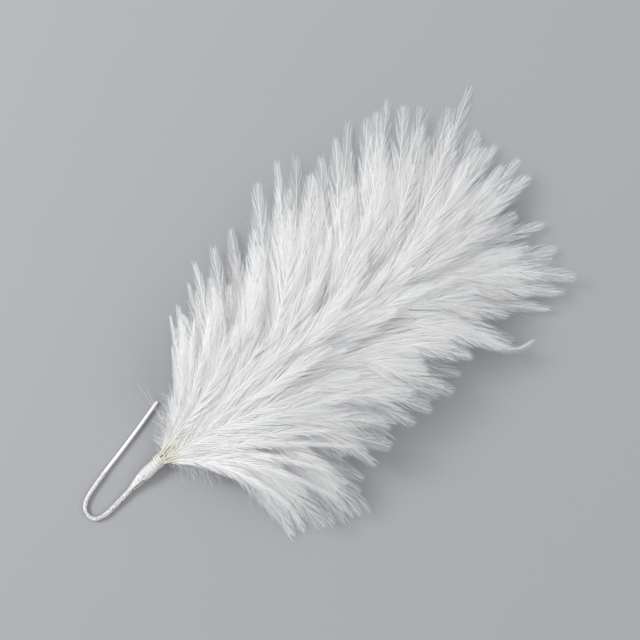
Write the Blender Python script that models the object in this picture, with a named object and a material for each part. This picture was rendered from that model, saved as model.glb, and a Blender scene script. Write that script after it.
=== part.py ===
"""A mount of white rooster neck hackles on a covered wire, lying on a flat surface.

The plume points along +X, the wire's hook lies at the -X end and +Z is up. Every hackle is rooted on the
stem and lies on a sheet of its own. The sheets are nested like the layers of an onion, the base hackles
outermost, above the stem and below it, so the hackles shingle over each other without touching.
"""

import math

import bmesh
import bpy
from mathutils import Vector

MM = 0.001

# The wire and what is wound on it, in metres
WIRE_RADIUS = 0.63 * MM
TAPE_CLEARANCE = 0.12 * MM
TAPE_RADIUS = 1.03 * MM
BUNDLE_RADIUS = 2.35 * MM
BUNDLE_START = -19.5 * MM
BUNDLE_FULL_AT = -6.825 * MM
BUNDLE_SHOULDER = -0.8 * MM
THREAD_RADIUS = 0.28 * MM
THREAD_TURNS = 3
THREAD_STEPS_PER_TURN = 12
THREAD_SIDES = 6
THREAD_START = -3.4 * MM
THREAD_PITCH = 0.85 * MM
TOUCHING_GAP = 0.3 * MM
STEM_LENGTH = 106 * MM
ROUTE_STEP = 6 * MM
ROUND_SIDES = 8
END_ROUNDING = ((0.0, 0.45), (0.4, 0.85), (1.0, 1.0))  # how far in and how wide, as shares of the radius
UPWARD = Vector((0.0, 0.0, 1.0))

# The height of the stem's axis, lying low at the hook and carried by the hackles in the plume
HOOK_AXIS_HEIGHT = 1.05 * MM
PLUME_AXIS_HEIGHT = 13.5 * MM
RISE_FROM = -33 * MM
RISE_TO = 72 * MM
FALL_FROM = 95 * MM
FALL_TO = 185 * MM
TIP_AXIS_HEIGHT = 4.0 * MM

# The hook's route in plan from its free end to the stem, in millimetres from the tie
HOOK_ROUTE = (
    (9.9, 17.4),
    (-1.4, 13.9),
    (-12.5, 10.7),
    (-21.2, 8.3),
    (-31.1, 4.9),
    (-34.6, 2.3),
    (-35.4, -0.9),
    (-33.6, -3.6),
    (-29.1, -4.1),
    (-19.5, -2.7),
    (-9.0, -1.0),
    (-0.8, -0.1),
    (0.0, 0.0),
)
TAPE_STARTS_AT = 3  # the route point where the tape's end makes a small step

# The plume's dome: its half width, its height over the stem, and how far back a hackle can be rooted
DOME_HALF_WIDTH = 70 * MM
DOME_HEIGHT = 20 * MM
DOME_HEIGHT_AT_TIP = 6 * MM
DOME_RISES_OVER = 26 * MM
FLOOR_MARGIN = 0.5 * MM
STEM_CLEARANCE = 1.5 * MM
HACKLE_REACH = 95 * MM

# The nested sheets: where the innermost and the outermost one lie, and how softly each changes its course
INNERMOST_RUNS_ON = 6 * MM
INNERMOST_SOFTNESS = 4 * MM
OUTERMOST_START = -4 * MM
OUTERMOST_SOFTNESS = 10 * MM

# A hackle
FIRST_ROOT = 1.2 * MM
LAST_ROOT = 104 * MM
QUILL_HALF_WIDTH = 0.55 * MM
TIP_HALF_WIDTH = 0.12 * MM
VANE_HALF_WIDTH = 6.2 * MM
HACKLE_THICKNESS = 0.42 * MM
TIP_THINNING = 0.6
HACKLE_STATIONS = 17
VANE_OPENS_FROM = 0.02
VANE_OPENS_TO = 0.34
VANE_FULLNESS = 3.2
VANE_TIP_ROUNDNESS = 0.9
SERRATION = 0.16
SERRATED_FROM = 0.2
SERRATED_TO = 0.5
LEAVES_AT = 0.40  # the rachis's angle at its root and at its tip, as shares of the angle from root to tip
ENDS_AT = 1.35
LEAVING_HANDLE = 0.36  # how far the root's and the tip's direction are held, as shares of the length
ENDING_HANDLE = 0.33

# Where each hackle's tip lies, along and across the plume, in millimetres from the tie. The hackles on the
# upper side come first, then those underneath. Each list runs in the order that they are tied on.
UPPER_TIPS = (
    (38.1, 41.2),
    (31.8, -57.0),
    (66.0, 4.0),
    (51.9, 50.2),
    (44.6, -61.2),
    (76.6, 46.7),
    (78.0, -24.0),
    (60.4, -49.4),
    (84.0, 18.0),
    (98.0, 62.9),
    (88.4, -45.5),
    (100.0, -8.0),
    (104.0, 51.0),
    (98.6, -44.7),
    (112.0, 26.0),
    (120.0, 56.0),
    (111.6, -38.7),
    (128.0, -20.0),
    (138.0, 54.9),
    (122.0, -43.0),
    (137.0, 12.0),
    (147.0, 50.8),
    (133.7, -46.7),
    (157.8, 34.6),
    (150.0, -30.0),
    (162.0, 20.0),
    (159.7, -38.5),
    (169.1, 9.0),
)
LOWER_TIPS = (
    (31.9, 35.5),
    (24.2, -54.0),
    (45.0, 46.0),
    (38.2, -60.5),
    (48.1, -62.9),
    (69.7, 53.0),
    (45.1, -43.0),
    (88.0, 50.0),
    (70.0, -47.0),
    (105.0, 60.0),
    (80.0, -44.0),
    (113.2, 50.1),
    (93.7, -43.7),
    (128.2, 58.7),
    (105.0, -42.0),
    (132.0, 50.0),
    (116.0, -34.0),
    (144.6, 56.7),
    (128.0, -44.0),
    (153.3, 46.6),
    (143.4, -38.3),
    (172.6, 42.0),
    (154.2, -41.0),
    (164.0, 27.3),
    (161.3, -26.5),
    (166.0, 18.5),
    (162.7, -15.8),
    (169.3, 1.3),
)

WHITE = (0.86, 0.85, 0.82, 1.0)
CREAM = (0.80, 0.76, 0.66, 1.0)


def clear_scene():
    for ob in list(bpy.data.objects):
        bpy.data.objects.remove(ob, do_unlink=True)


def make_material(name, colour, roughness):
    material = bpy.data.materials.new(name)
    material.use_nodes = True
    shader = material.node_tree.nodes["Principled BSDF"]
    shader.inputs["Base Color"].default_value = colour
    shader.inputs["Roughness"].default_value = roughness
    shader.inputs["Metallic"].default_value = 0.0
    return material


def eased(value, start, end):
    """0 before start, 1 after end, and a smooth rise between."""
    share = min(max((value - start) / (end - start), 0.0), 1.0)
    return (1.0 - math.cos(math.pi * share)) / 2.0


def lesser(a, b, softness):
    """The lesser of two values, with the corner between them rounded."""
    return (a + b - math.hypot(a - b, softness)) / 2.0


def greater(a, b, softness):
    return -lesser(-a, -b, softness)


def axis_height(x):
    """The height of the stem's axis, and past its end that of the plume's middle."""
    rise = (PLUME_AXIS_HEIGHT - HOOK_AXIS_HEIGHT) * eased(x, RISE_FROM, RISE_TO)
    fall = (PLUME_AXIS_HEIGHT - TIP_AXIS_HEIGHT) * eased(x, FALL_FROM, FALL_TO)
    return HOOK_AXIS_HEIGHT + rise - fall


def layer_share(x, root):
    """Which sheet a hackle lies on at x: 0 is next to the stem and 1 is the plume's surface."""
    innermost = lesser(x, LAST_ROOT + INNERMOST_RUNS_ON, INNERMOST_SOFTNESS)
    outermost = greater(x - HACKLE_REACH, OUTERMOST_START, OUTERMOST_SOFTNESS)
    return max((innermost - root) / (innermost - outermost), 0.0)


def sheet_height(x, y, root, side):
    """The height of a hackle's sheet over the floor; side is 1 over the stem and -1 under it."""
    share = layer_share(x, root)
    middle = axis_height(x)
    if side > 0:
        swell = 1.0 - math.exp(-max(x, 0.0) / DOME_RISES_OVER)
        fall = (DOME_HEIGHT - DOME_HEIGHT_AT_TIP) * eased(x, FALL_FROM, FALL_TO)
        depth = (DOME_HEIGHT - fall) * swell
    else:
        depth = middle - STEM_CLEARANCE - FLOOR_MARGIN
    offset = side * (STEM_CLEARANCE + depth * share)
    return (middle + offset) * (1.0 - (y / DOME_HALF_WIDTH) ** 2)


def smooth_route(points, step):
    """Points about one step apart on a smooth curve through the given ones."""
    ends = [2 * points[0] - points[1], *points, 2 * points[-1] - points[-2]]
    route = []
    for before, start, end, after in zip(ends, ends[1:], ends[2:], ends[3:]):
        count = max(1, round((end - start).length / step))
        for i in range(count):
            t = i / count
            route.append(
                0.5
                * (
                    2 * start
                    + t * (end - before)
                    + t * t * (2 * before - 5 * start + 4 * end - after)
                    + t * t * t * (3 * start - before - 3 * end + after)
                )
            )
    return [*route, points[-1].copy()]


def stem_route(first_point):
    """The wire's centre line from one point of the hook to the stem's end, and the number of its bend."""
    plan = [Vector((x * MM, y * MM, 0.0)) for x, y in HOOK_ROUTE[first_point:]]
    route = smooth_route(plan, ROUTE_STEP)
    count = round(STEM_LENGTH / (2 * ROUTE_STEP))
    route += [Vector((STEM_LENGTH * (i + 1) / count, 0.0, 0.0)) for i in range(count)]
    bend = min(range(len(route)), key=lambda i: route[i].x)
    for i, point in enumerate(route):
        point.z = axis_height(point.x) if i > bend else HOOK_AXIS_HEIGHT
    return route, bend


def rings_along(route, radii, level=UPWARD, sides=ROUND_SIDES):
    """A ring of points at each place on the route, square to it; its first axis is square to level."""
    rings = []
    for i, (centre, radius) in enumerate(zip(route, radii)):
        along = (route[min(i + 1, len(route) - 1)] - route[max(i - 1, 0)]).normalized()
        side = along.cross(level).normalized()
        up = side.cross(along)
        ring = []
        for k in range(sides):
            turn = math.tau * (k + 0.5) / sides
            ring.append(centre + radius * (math.cos(turn) * side + math.sin(turn) * up))
        rings.append(ring)
    return rings


def add_skin(bm, rings, inward=False):
    """Joins each ring to the next with faces and returns the rings' vertices."""
    loops = [[bm.verts.new(point) for point in ring] for ring in rings]
    for first, second in zip(loops, loops[1:]):
        for k in range(len(first)):
            after = (k + 1) % len(first)
            corners = [first[k], first[after], second[after], second[k]]
            bm.faces.new(corners[::-1] if inward else corners)
    return loops


def make_closed_skin(name, rings, material, shade_angle=40):
    """One closed body through the rings, with a flat face over the first and the last."""
    bm = bmesh.new()
    loops = add_skin(bm, rings)
    bm.faces.new(loops[0][::-1])
    bm.faces.new(loops[-1])
    return finish_object(name, bm, material, shade_angle)


def finish_object(name, bm, material, shade_angle=40):
    bmesh.ops.recalc_face_normals(bm, faces=bm.faces)
    mesh = bpy.data.meshes.new(name)
    bm.to_mesh(mesh)
    bm.free()
    mesh.shade_smooth()
    mesh.set_sharp_from_angle(angle=math.radians(shade_angle))
    mesh.materials.append(material)
    ob = bpy.data.objects.new(name, mesh)
    bpy.context.scene.collection.objects.link(ob)
    return ob


def with_round_ends(route, radius):
    """The route with more places near its ends, and the radii that round the ends off."""
    after_start = (route[1] - route[0]).normalized() * radius
    before_end = (route[-2] - route[-1]).normalized() * radius
    head = [route[0] + inset * after_start for inset, _ in END_ROUNDING]
    tail = [route[-1] + inset * before_end for inset, _ in END_ROUNDING]
    rounding = [width * radius for _, width in END_ROUNDING]
    middle = route[1:-1]
    return [*head, *middle, *tail[::-1]], [*rounding, *[radius] * len(middle), *rounding[::-1]]


def make_covered_wire(material):
    """The wire, from its rounded free end round the hook and on through the plume."""
    centre_line, _ = stem_route(0)
    route, radii = with_round_ends(centre_line, WIRE_RADIUS)
    return make_closed_skin("covered_wire", rings_along(route, radii), material)


def tape_radius(x):
    """The tape is one layer thick on the wire, and swells over the bundled quills up to the tie."""
    swell = eased(x, BUNDLE_START, BUNDLE_FULL_AT)
    ending = eased(x, BUNDLE_SHOULDER, 0.0)
    return TAPE_RADIUS + (BUNDLE_RADIUS - TAPE_RADIUS) * swell * (1.0 - ending)


def make_stem_tape(material):
    """The tape's sleeve, from its step on the hook's free arm to the tie and on along the spine."""
    route, bend = stem_route(TAPE_STARTS_AT)
    outer_radii = [tape_radius(p.x) if i > bend else TAPE_RADIUS for i, p in enumerate(route)]
    inner_radii = [WIRE_RADIUS + TAPE_CLEARANCE] * len(route)
    bm = bmesh.new()
    outer = add_skin(bm, rings_along(route, outer_radii))
    inner = add_skin(bm, rings_along(route, inner_radii), inward=True)
    for outside, inside in ((outer[0], inner[0]), (outer[-1], inner[-1])):
        for k in range(ROUND_SIDES):
            after = (k + 1) % ROUND_SIDES
            bm.faces.new([outside[k], outside[after], inside[after], inside[k]])
    return finish_object("stem_tape", bm, material)


def make_tie_thread(material):
    """A few turns of thread round the end of the bundle, wound as one coil."""
    reach = BUNDLE_RADIUS + TOUCHING_GAP + THREAD_RADIUS
    slope = HOOK_ROUTE[-2][1] / HOOK_ROUTE[-2][0]
    route = []
    for i in range(THREAD_TURNS * THREAD_STEPS_PER_TURN + 1):
        turn = math.tau * i / THREAD_STEPS_PER_TURN
        x = THREAD_START + THREAD_PITCH * i / THREAD_STEPS_PER_TURN
        y = slope * x + reach * math.cos(turn)
        z = axis_height(x) + reach * math.sin(turn)
        route.append(Vector((x, y, z)))
    radii = [THREAD_RADIUS] * len(route)
    rings = rings_along(route, radii, level=Vector((1, 0, 0)), sides=THREAD_SIDES)
    return make_closed_skin("tie_thread", rings, material)


def vane_half_width(share):
    """A hackle's half width along its length: a bare quill, long soft barbs, and a slender tip."""
    opening = eased(share, VANE_OPENS_FROM, VANE_OPENS_TO)
    closing = (1.0 - share**VANE_FULLNESS) ** VANE_TIP_ROUNDNESS
    shaft = QUILL_HALF_WIDTH + (TIP_HALF_WIDTH - QUILL_HALF_WIDTH) * share
    return shaft + VANE_HALF_WIDTH * opening * closing


def hackle_path(root, tip):
    """The rachis in plan: it leaves almost along the stem and bends outwards all the way to its tip."""
    start = Vector((root, 0.0))
    end = Vector(tip)
    chord = end - start
    angle = math.atan2(chord.y, chord.x)
    leaving = Vector((math.cos(angle * LEAVES_AT), math.sin(angle * LEAVES_AT)))
    ending = Vector((math.cos(angle * ENDS_AT), math.sin(angle * ENDS_AT)))
    first = start + leaving * chord.length * LEAVING_HANDLE
    second = end - ending * chord.length * ENDING_HANDLE
    path = []
    for i in range(HACKLE_STATIONS):
        t = i / (HACKLE_STATIONS - 1)
        s = 1.0 - t
        path.append(s**3 * start + 3 * s * s * t * first + 3 * s * t * t * second + t**3 * end)
    return path


def make_hackle(name, root, tip, side, number, material):
    """One hackle as a thin blade on its sheet: a ridge along the rachis and a vane to each side."""
    path = hackle_path(root, tip)
    rings = []
    for i, centre in enumerate(path):
        share = i / (HACKLE_STATIONS - 1)
        along = (path[min(i + 1, len(path) - 1)] - path[max(i - 1, 0)]).normalized()
        across = Vector((-along.y, along.x))
        notch = SERRATION if (i + number) % 2 else -SERRATION
        notch *= eased(share, SERRATED_FROM, SERRATED_TO)
        left = vane_half_width(share) * (1.0 + notch)
        right = vane_half_width(share) * (1.0 - notch)
        thickness = HACKLE_THICKNESS * (1.0 - TIP_THINNING * share)
        ring = []
        for offset, lift in ((-right, 0.5), (0.0, 0.0), (left, 0.5), (0.0, 1.0)):
            spot = centre + across * offset
            height = sheet_height(spot.x, spot.y, root, side)
            ring.append(Vector((spot.x, spot.y, height + side * lift * thickness)))
        rings.append(ring)
    return make_closed_skin(name, rings, material, shade_angle=60)


def make_hackles(side, tips, word, material):
    """One side's hackles, rooted evenly along the stem in the order that they are tied on."""
    spacing = (LAST_ROOT - FIRST_ROOT) / (len(tips) - 1)
    hackles = []
    for number, (x, y) in enumerate(tips):
        root = FIRST_ROOT + spacing * number
        name = f"hackle_{word}_{number + 1:02d}"
        hackles.append(make_hackle(name, root, (x * MM, y * MM), side, number, material))
    return hackles


def stand_on_floor(objects):
    """Puts the origin on the floor under the middle of the object."""
    points = [vertex.co for ob in objects for vertex in ob.data.vertices]
    low = Vector([min(point[i] for point in points) for i in range(3)])
    high = Vector([max(point[i] for point in points) for i in range(3)])
    middle = (low + high) / 2
    for ob in objects:
        ob.location = (-middle.x, -middle.y, -low.z)


def make_feather_mount():
    clear_scene()
    wire_white = make_material("wire_cover", WHITE, 0.8)
    tape_white = make_material("white_tape", WHITE, 0.7)
    hackle_white = make_material("hackle_white", WHITE, 0.6)
    thread_white = make_material("tie_thread", CREAM, 0.6)
    objects = [
        make_covered_wire(wire_white),
        make_stem_tape(tape_white),
        make_tie_thread(thread_white),
    ]
    objects += make_hackles(1, UPPER_TIPS, "upper", hackle_white)
    objects += make_hackles(-1, LOWER_TIPS, "lower", hackle_white)
    stand_on_floor(objects)


make_feather_mount()
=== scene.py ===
import math

import bmesh
import bpy
import numpy as np
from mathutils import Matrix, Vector


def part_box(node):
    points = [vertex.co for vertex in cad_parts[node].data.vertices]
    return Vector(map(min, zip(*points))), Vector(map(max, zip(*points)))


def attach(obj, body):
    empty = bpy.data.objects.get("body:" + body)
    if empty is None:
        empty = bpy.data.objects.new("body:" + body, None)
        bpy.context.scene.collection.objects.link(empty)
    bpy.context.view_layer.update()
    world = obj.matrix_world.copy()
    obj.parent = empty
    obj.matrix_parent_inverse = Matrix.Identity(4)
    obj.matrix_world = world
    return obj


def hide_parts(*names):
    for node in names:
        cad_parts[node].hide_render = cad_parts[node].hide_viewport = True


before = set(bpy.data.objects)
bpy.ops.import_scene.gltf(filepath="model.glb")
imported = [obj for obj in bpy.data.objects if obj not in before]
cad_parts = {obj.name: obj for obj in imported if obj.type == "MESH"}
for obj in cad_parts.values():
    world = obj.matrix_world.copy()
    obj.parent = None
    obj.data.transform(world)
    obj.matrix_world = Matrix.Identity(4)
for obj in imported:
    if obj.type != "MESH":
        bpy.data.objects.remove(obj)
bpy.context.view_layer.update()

MM = 0.001

# The covered wire: thin steel wire with a white cotton cover, bent by hand into a long open U.
# Its free end is rounded. Past the bend it runs back as the stem and goes on inside the plume, where it
# carries the hackles. The route repeats the frame's, in millimetres from the tie.
HOOK_ROUTE = (
    (9.9, 17.4),
    (-1.4, 13.9),
    (-12.5, 10.7),
    (-21.2, 8.3),
    (-31.1, 4.9),
    (-34.6, 2.3),
    (-35.4, -0.9),
    (-33.6, -3.6),
    (-29.1, -4.1),
    (-19.5, -2.7),
    (-9.0, -1.0),
    (-0.8, -0.1),
    (0.0, 0.0),
)
STEM_LENGTH = 106 * MM
STEM_STEP = 1.2 * MM
HOOK_AXIS_HEIGHT = 1.05 * MM
PLUME_AXIS_HEIGHT = 13.5 * MM
TIP_AXIS_HEIGHT = 4.0 * MM
RISE_FROM, RISE_TO = -33 * MM, 72 * MM
FALL_FROM, FALL_TO = 95 * MM, 185 * MM
WIRE_RADIUS = 0.63 * MM
WIRE_STEP = 0.6 * MM
WIRE_SIDES = 16
ROUNDED_END_RINGS = (0.06, 0.2, 0.45)
BLUNTEST_RING = 0.2
SHARP_FROM = math.radians(50)

# The tie is the origin of every route. The thread's coil is centred a little behind it, so the coil's box
# in the frame tells where the tie is.
THREAD_START = -3.4 * MM
THREAD_PITCH = 0.85 * MM
THREAD_TURNS = 3
STEM_SLOPE = HOOK_ROUTE[-2][1] / HOOK_ROUTE[-2][0]


def eased(value, start, end):
    """Goes from 0 at the start to 1 at the end, flat at both."""
    share = np.clip((np.asarray(value, float) - start) / (end - start), 0.0, 1.0)
    return (1.0 - np.cos(math.pi * share)) / 2.0


def axis_height(x):
    rise = (PLUME_AXIS_HEIGHT - HOOK_AXIS_HEIGHT) * eased(x, RISE_FROM, RISE_TO)
    fall = (PLUME_AXIS_HEIGHT - TIP_AXIS_HEIGHT) * eased(x, FALL_FROM, FALL_TO)
    return HOOK_AXIS_HEIGHT + rise - fall


def find_tie():
    low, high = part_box("tie_thread")
    coil_x = THREAD_START + THREAD_PITCH * THREAD_TURNS / 2
    return (low + high) / 2 - Vector((coil_x, STEM_SLOPE * coil_x, float(axis_height(coil_x))))


tie = find_tie()


def smooth_route(points, step):
    """A smooth curve through the points, with a place about every step."""
    ends = [2 * points[0] - points[1], *points, 2 * points[-1] - points[-2]]
    route = []
    for before, start, end, after in zip(ends, ends[1:], ends[2:], ends[3:]):
        count = max(1, round((end - start).length / step))
        for i in range(count):
            t = i / count
            straight = 2 * start + t * (end - before)
            square = t * t * (2 * before - 5 * start + 4 * end - after)
            cube = t * t * t * (3 * start - before - 3 * end + after)
            route.append(0.5 * (straight + square + cube))
    return [*route, points[-1].copy()]


def stem_route(first_point, step):
    """The wire's route from one of the hook's points to the stem's end, and the place of the bend."""
    plan = [Vector((x * MM, y * MM, 0.0)) for x, y in HOOK_ROUTE[first_point:]]
    route = smooth_route(plan, step)
    count = round(STEM_LENGTH / STEM_STEP)
    route += [Vector((STEM_LENGTH * (i + 1) / count, 0.0, 0.0)) for i in range(count)]
    bend = min(range(len(route)), key=lambda i: route[i].x)
    for i, point in enumerate(route):
        point.z = float(axis_height(point.x)) if i > bend else HOOK_AXIS_HEIGHT
    return [point + tie for point in route], bend


def next_ring(bm, loop, edges):
    """Draws the tube's open end out by one ring, with the new ring's points in the old ring's order."""
    grown = bmesh.ops.extrude_edge_only(bm, edges=edges)["geom"]
    fresh = {part for part in grown if isinstance(part, bmesh.types.BMVert)}
    ring = []
    for vert in loop:
        beside = [edge.other_vert(vert) for edge in vert.link_edges]
        ring.append(next(other for other in beside if other in fresh))
    drawn = [part for part in grown if isinstance(part, bmesh.types.BMEdge)]
    return ring, [edge for edge in drawn if all(vert in fresh for vert in edge.verts)]


def across_route(route, i):
    """The directions to the right of the route and up from it, both square to it."""
    along = (route[min(i + 1, len(route) - 1)] - route[max(i - 1, 0)]).normalized()
    right = along.cross(Vector((0, 0, 1))).normalized()
    return right, right.cross(along)


def finish_skin(name, bm):
    bmesh.ops.recalc_face_normals(bm, faces=bm.faces)
    mesh = bpy.data.meshes.new(name)
    bm.to_mesh(mesh)
    bm.free()
    mesh.shade_smooth()
    mesh.set_sharp_from_angle(angle=SHARP_FROM)
    return mesh


def skin_route(name, route, radius_at, sides):
    """A closed tube drawn ring by ring along the route; radius_at gives the radius by place and turn.
    Each point's relief is its radius over its ring's mean, which tells ridges from grooves; the tape's
    material uses it to paint shade into the grooves."""
    bm = bmesh.new()
    relief = bm.verts.layers.float.new("relief")
    loop = bmesh.ops.create_circle(bm, cap_ends=True, radius=1.0, segments=sides)["verts"]
    edges = list(bm.edges)
    turns = [math.tau * k / sides for k in range(sides)]
    run = 0.0
    for i, centre in enumerate(route):
        if i:
            run += (centre - route[i - 1]).length
            loop, edges = next_ring(bm, loop, edges)
        right, up = across_route(route, i)
        radii = [radius_at(i, run, turn) for turn in turns]
        for vert, turn, radius in zip(loop, turns, radii):
            vert.co = centre + radius * (math.cos(turn) * right + math.sin(turn) * up)
            vert[relief] = radius * sides / sum(radii)
    bm.faces.new(loop)
    return finish_skin(name, bm)


def add_piece(name, mesh, node, material):
    """Puts a mesh in the scene as a piece of the mount's one body, in the place of a node if one is given."""
    mesh.materials.append(material)
    piece = bpy.data.objects.new(name, mesh)
    bpy.context.scene.collection.objects.link(piece)
    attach(piece, "root")
    if node:
        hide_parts(node)


def new_material(name):
    material = bpy.data.materials.new(name)
    material.use_nodes = True
    return material, material.node_tree, material.node_tree.nodes["Principled BSDF"]


def add_node(tree, kind, **values):
    """A node with its settings; a setting that is one of its inputs is given by the input's name."""
    node = tree.nodes.new(kind)
    for key, value in values.items():
        if key in node.inputs:
            node.inputs[key].default_value = value
        else:
            setattr(node, key, value)
    return node


def link(tree, source, output, target, socket):
    tree.links.new(source.outputs[output], target.inputs[socket])


def make_fibre_group():
    """Fine fibres that tint a surface from dark to light and give it a height.
    The wire's cover, the tape and the thread share them."""
    group = bpy.data.node_groups.new("fine_fibres", "ShaderNodeTree")
    for name in ("Scale", "Detail", "Dark Below", "Light Above"):
        group.interface.new_socket(name, in_out="INPUT", socket_type="NodeSocketFloat")
    for name in ("Dark", "Light"):
        group.interface.new_socket(name, in_out="INPUT", socket_type="NodeSocketColor")
    group.interface.new_socket("Color", in_out="OUTPUT", socket_type="NodeSocketColor")
    group.interface.new_socket("Height", in_out="OUTPUT", socket_type="NodeSocketFloat")
    given = add_node(group, "NodeGroupInput")
    coords = add_node(group, "ShaderNodeTexCoord")
    fibres = add_node(group, "ShaderNodeTexNoise")
    share = add_node(group, "ShaderNodeMapRange")
    tint = add_node(group, "ShaderNodeMix", data_type="RGBA")
    result = add_node(group, "NodeGroupOutput")
    link(group, coords, "Object", fibres, "Vector")
    link(group, given, "Scale", fibres, "Scale")
    link(group, given, "Detail", fibres, "Detail")
    link(group, fibres, "Fac", share, "Value")
    link(group, given, "Dark Below", share, "From Min")
    link(group, given, "Light Above", share, "From Max")
    link(group, share, "Result", tint, "Factor")
    link(group, given, "Dark", tint, "A")
    link(group, given, "Light", tint, "B")
    link(group, tint, "Result", result, "Color")
    link(group, fibres, "Fac", result, "Height")
    return group


fine_fibres = make_fibre_group()


def add_fibres(tree, scale, detail, dark, light, dark_below=0.3, light_above=0.6):
    """The shared fibres with their size in turns per metre and their two colours."""
    fibres = add_node(tree, "ShaderNodeGroup", node_tree=fine_fibres)
    fibres.inputs["Scale"].default_value = scale
    fibres.inputs["Detail"].default_value = detail
    fibres.inputs["Dark"].default_value = (*dark, 1.0)
    fibres.inputs["Light"].default_value = (*light, 1.0)
    fibres.inputs["Dark Below"].default_value = dark_below
    fibres.inputs["Light Above"].default_value = light_above
    return fibres


def add_bump(tree, fibres, shader, strength, depth):
    bump = add_node(tree, "ShaderNodeBump", Strength=strength, Distance=depth)
    link(tree, fibres, "Height", bump, "Height")
    link(tree, bump, "Normal", shader, "Normal")


cotton, tree, shader = new_material("wire_cover_cotton")
fibres = add_fibres(tree, 2600.0, 3.0, (0.66, 0.65, 0.63), (0.82, 0.81, 0.79), light_above=0.62)
link(tree, fibres, "Color", shader, "Base Color")
add_bump(tree, fibres, shader, 0.35, 0.2 * MM)
shader.inputs["Roughness"].default_value = 0.75

wire_route = stem_route(0, WIRE_STEP)[0]
first_step = wire_route[1] - wire_route[0]
wire_route[1:1] = [wire_route[0] + share * first_step for share in ROUNDED_END_RINGS]


def wire_radius(i, run, turn):
    """The wire's radius, rounded off at both of its ends."""
    from_end = min(run, (len(wire_route) - 1 - i) * STEM_STEP)
    rounding = min(from_end / WIRE_RADIUS, 1.0)
    return WIRE_RADIUS * max(math.sqrt(rounding * (2 - rounding)), BLUNTEST_RING)


wire_mesh = skin_route("covered_wire_cover", wire_route, wire_radius, WIRE_SIDES)
add_piece("covered_wire_cover", wire_mesh, "covered_wire", cotton)

# The stem tape: crinkled white tape wound tight round the wire from a small step on the hook's free arm.
# Past the bend it lies double and in steep folds, swells over the bundled quills with its loose end at the
# toe of the bundle, and lies in close turns by the tie.
TAPE_STARTS_AT = 3
TAPE_STEP = 0.2 * MM
TAPE_SIDES = 56
TAPE_RADIUS = 0.78 * MM
DOUBLED_TAPE = 0.16 * MM
DOUBLED_FROM, DOUBLED_TO = -33 * MM, -27 * MM
BUNDLE_RADIUS = 2.35 * MM
BUNDLE_FROM, BUNDLE_FULL = -19.5 * MM, -7.8 * MM
SHOULDER_FROM, SHOULDER_TO = -0.8 * MM, 0.8 * MM
NARROWER_AT_TIE = 0.16
NARROWS_FROM, NARROWS_TO = -9 * MM, -1 * MM
FOLD_DEPTH = 0.24 * MM
FOLD_SUNK = 0.7
FOLD_BACK = 0.75
FOLDS_ROUND, FOLD_PITCH = 5, 2.4 * MM
CLOSE_TURNS_ROUND, CLOSE_TURN_PITCH = 2, 0.95 * MM
CLOSE_FROM, CLOSE_TO = -11 * MM, -7 * MM
FOLD_WANDER = ((0.30, 0.9, 2), (0.22, 2.3, -3))
CLOSE_TURN_WANDER = 0.7
STEEP_FOLDS_BELOW, CLOSE_TURNS_BELOW = 0.45, 0.10
ARM_FOLD_SHARE = 0.3
FOLDS_GROW_OVER = 28
LOOSE_END_DEPTH = 0.55 * MM
LOOSE_FROM, LOOSE_FULL, LOOSE_FALLS, LOOSE_TO = -19 * MM, -15 * MM, -12.5 * MM, -9.5 * MM
LOOSE_TURN, LOOSE_WIDTH = 0.75, 0.2
LOOSE_LEAN, LOOSE_MIDDLE = 0.03 / MM, -14 * MM

tape_route, tape_bend = stem_route(TAPE_STARTS_AT, TAPE_STEP)


def fold_height(phase):
    """A fold's height from 0 to 1: it climbs slowly and drops steeply."""
    share = phase % 1.0
    return min(share / FOLD_BACK, (1.0 - share) / (1.0 - FOLD_BACK))


def tape_thickness(x, past_bend):
    """The winding's radius without its folds."""
    if not past_bend:
        return TAPE_RADIUS
    thin = TAPE_RADIUS + DOUBLED_TAPE * float(eased(x, DOUBLED_FROM, DOUBLED_TO))
    swell = float(eased(x, BUNDLE_FROM, BUNDLE_FULL) * (1.0 - eased(x, SHOULDER_FROM, SHOULDER_TO)))
    narrowing = 1.0 - NARROWER_AT_TIE * float(eased(x, NARROWS_FROM, NARROWS_TO))
    return thin + (BUNDLE_RADIUS - thin) * swell * narrowing


def tape_folds(x, run, turn, past_bend):
    """Steep folds that give way to close turns by the tie, both highest on the tape's open side."""
    wander = sum(size * math.sin(waves * run / MM + around * turn) for size, waves, around in FOLD_WANDER)
    open_side = math.cos(turn / 2) ** 2
    steep = fold_height(FOLDS_ROUND * turn / math.tau - run / FOLD_PITCH + wander)
    steep *= STEEP_FOLDS_BELOW + (1.0 - STEEP_FOLDS_BELOW) * open_side
    wander *= CLOSE_TURN_WANDER
    close = fold_height(CLOSE_TURNS_ROUND * turn / math.tau - run / CLOSE_TURN_PITCH + wander)
    close *= CLOSE_TURNS_BELOW + open_side
    near_tie = float(eased(x, CLOSE_FROM, CLOSE_TO)) * past_bend
    return steep + (close - steep) * near_tie


def loose_end(x, turn, past_bend):
    """The groove beside the tape's loose end at the toe of the bundle."""
    share = float(eased(x, LOOSE_FROM, LOOSE_FULL) - eased(x, LOOSE_FALLS, LOOSE_TO)) * past_bend
    away = (turn - LOOSE_TURN + LOOSE_LEAN * (x - LOOSE_MIDDLE)) % math.tau
    away = min(away, math.tau - away)
    return LOOSE_END_DEPTH * share * math.exp(-((away / LOOSE_WIDTH) ** 2))


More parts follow.
